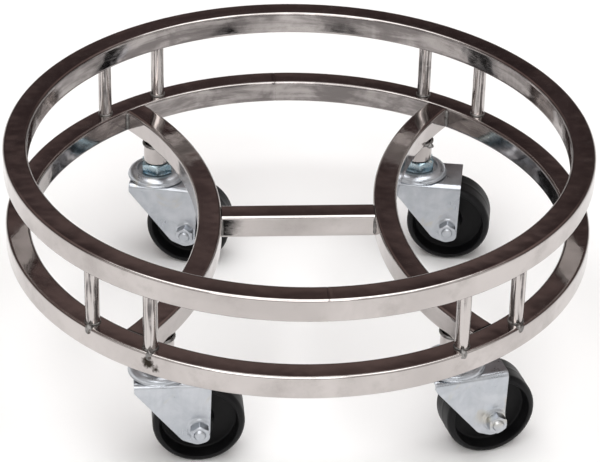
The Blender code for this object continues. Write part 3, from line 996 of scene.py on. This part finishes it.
def black_nylon():
    """Moulded black nylon: soft sheen, fine orange peel, and light dust and scuffs."""
    look = Look("black_nylon", 0.0)
    look.shader.inputs["Specular IOR Level"].default_value = 0.15
    cloud = look.noise(60.0, 4.0, 0.6)
    clear = look.spread(cloud, 0.3, 0.7)
    colour = look.mixed(clear, (0.0040, 0.0040, 0.0046), (0.0080, 0.0080, 0.0086))
    dust = look.spread(look.noise(900.0, 3.0, 0.7), 0.66, 0.78)
    colour = look.mixed(look.times(dust, 0.30), colour, (0.080, 0.076, 0.072))
    roughness = look.spread(cloud, 0.25, 0.75, 0.34, 0.50)
    roughness = look.plus(roughness, look.times(dust, 0.20))
    return look.finish(colour, roughness, look.bump(look.noise(1600.0, 2.0), 0.16, 0.00012))


# ---------------------------------------------------------------- stage, light, camera

def make_floor():
    """A plain pale floor."""
    bm = bmesh.new()
    bmesh.ops.create_grid(bm, x_segments=8, y_segments=8, size=FLOOR_REACH)
    mesh = bpy.data.meshes.new("floor")
    bm.to_mesh(mesh)
    bm.free()
    look = Look("floor", 0.0)
    cloud = look.noise(6.0, 3.0)
    colour = look.mixed(look.spread(cloud, 0.3, 0.7), *FLOOR_TONES)
    roughness = look.spread(cloud, 0.3, 0.7, 0.75, 0.85)
    mesh.materials.append(look.finish(colour, roughness, look.bump(cloud, 0.02, 0.0005)))
    floor = bpy.data.objects.new("floor", mesh)
    bpy.context.scene.collection.objects.link(floor)


def area_light(name, place, aim, width, depth, power):
    """A white soft box that faces a point."""
    data = bpy.data.lights.new(name, "AREA")
    data.shape = "RECTANGLE"
    data.size = width
    data.size_y = depth
    data.energy = power
    light = bpy.data.objects.new(name, data)
    light.location = place
    light.rotation_euler = (Vector(aim) - Vector(place)).to_track_quat("-Z", "Y").to_euler()
    bpy.context.scene.collection.objects.link(light)


def soft_range(tree, value, low, high):
    """Maps a range of a socket's value softly on 0 to 1."""
    made = tree.nodes.new("ShaderNodeMapRange")
    made.interpolation_type = "SMOOTHSTEP"
    made.inputs["From Min"].default_value = low
    made.inputs["From Max"].default_value = high
    tree.links.new(value, made.inputs["Value"])
    return made


def colour_mix(tree, share, first, second):
    """Mixes two colours, each a socket or a plain (red, green, blue)."""
    made = tree.nodes.new("ShaderNodeMix")
    made.data_type = "RGBA"
    tree.links.new(share, made.inputs[0])
    for key, value in ((6, first), (7, second)):
        if isinstance(value, bpy.types.NodeSocket):
            tree.links.new(value, made.inputs[key])
        else:
            made.inputs[key].default_value = (*value, 1.0)
    return made.outputs[2]


def make_world():
    """A mottled brown studio, pale at its foot and to the front, under a white ceiling.

    The camera itself sees a plain white backdrop, which the object doesn't reflect.
    """
    world = bpy.data.worlds.new("studio")
    bpy.context.scene.world = world
    world.use_nodes = True
    tree = world.node_tree
    new, link = tree.nodes.new, tree.links.new
    backdrop = tree.nodes["Background"]
    backdrop.inputs["Color"].default_value = (1.0, 1.0, 1.0, 1.0)
    direction = new("ShaderNodeTexCoord").outputs["Generated"]
    parts = new("ShaderNodeSeparateXYZ")
    link(direction, parts.inputs[0])
    mottle = new("ShaderNodeTexNoise")
    mottle.inputs["Scale"].default_value = MOTTLE_SCALE
    mottle.inputs["Detail"].default_value = 3.0
    link(direction, mottle.inputs["Vector"])
    room = colour_mix(tree, mottle.outputs["Fac"], *WALL_TONES)
    for low, high, colour, axis in (WALL_UPPER, FRONT_WALL, WALL_FOOT, CEILING):
        share = soft_range(tree, parts.outputs[axis], low, high)
        room = colour_mix(tree, share.outputs["Result"], room, colour)
    patches = new("ShaderNodeMapRange")
    patches.inputs["From Min"].default_value = MOTTLE_RANGE[0]
    patches.inputs["From Max"].default_value = MOTTLE_RANGE[1]
    patches.inputs["To Min"].default_value = WALL_PATCHES[0]
    patches.inputs["To Max"].default_value = WALL_PATCHES[1]
    link(mottle.outputs["Fac"], patches.inputs["Value"])
    around = new("ShaderNodeBackground")
    link(room, around.inputs["Color"])
    link(patches.outputs["Result"], around.inputs["Strength"])
    seen = new("ShaderNodeLightPath").outputs["Is Camera Ray"]
    both = new("ShaderNodeMixShader")
    link(seen, both.inputs[0])
    link(around.outputs[0], both.inputs[1])
    link(backdrop.outputs[0], both.inputs[2])
    link(both.outputs[0], tree.nodes["World Output"].inputs["Surface"])


def make_camera():
    """The photograph's camera: a long lens that looks down at the middle of the dolly."""
    data = bpy.data.cameras.new("camera")
    data.sensor_width = SENSOR_WIDTH
    data.lens = LENS_SHARE * data.sensor_width
    data.clip_end = 100.0
    camera = bpy.data.objects.new("camera", data)
    bpy.context.scene.collection.objects.link(camera)
    azimuth, elevation = math.radians(AZIMUTH), math.radians(ELEVATION)
    back = Vector((-math.sin(azimuth), -math.cos(azimuth), 0.0)) * math.cos(elevation)
    back.z = math.sin(elevation)
    turned = Matrix.Rotation(math.radians(ROLL), 4, back)
    facing = back.to_track_quat("Z", "Y").to_matrix().to_4x4()
    camera.matrix_world = Matrix.Translation(Vector(AIM) + back * AIM_DISTANCE) @ turned @ facing
    bpy.context.scene.camera = camera


def make_light():
    """The studio's walls and two soft boxes, one overhead and one in front."""
    make_world()
    area_light("ceiling_box", *CEILING_BOX)
    area_light("front_box", *FRONT_BOX)
    bpy.context.scene.view_settings.view_transform = "Standard"


# ---------------------------------------------------------------- everything

steel = polished_steel()
weld = weld_metal()
zinc = bright_zinc()
metals = (zinc, blue_zinc(), steel, bearing_steel())
nylon = black_nylon()
make_camera()
make_tubes(steel)
make_rods(rod_steel())
make_rod_welds(weld)
make_tube_welds(weld)
make_boss_welds(weld)
for corner in CORNERS:
    make_caster(corner, metals, nylon)
make_floor()
make_light()
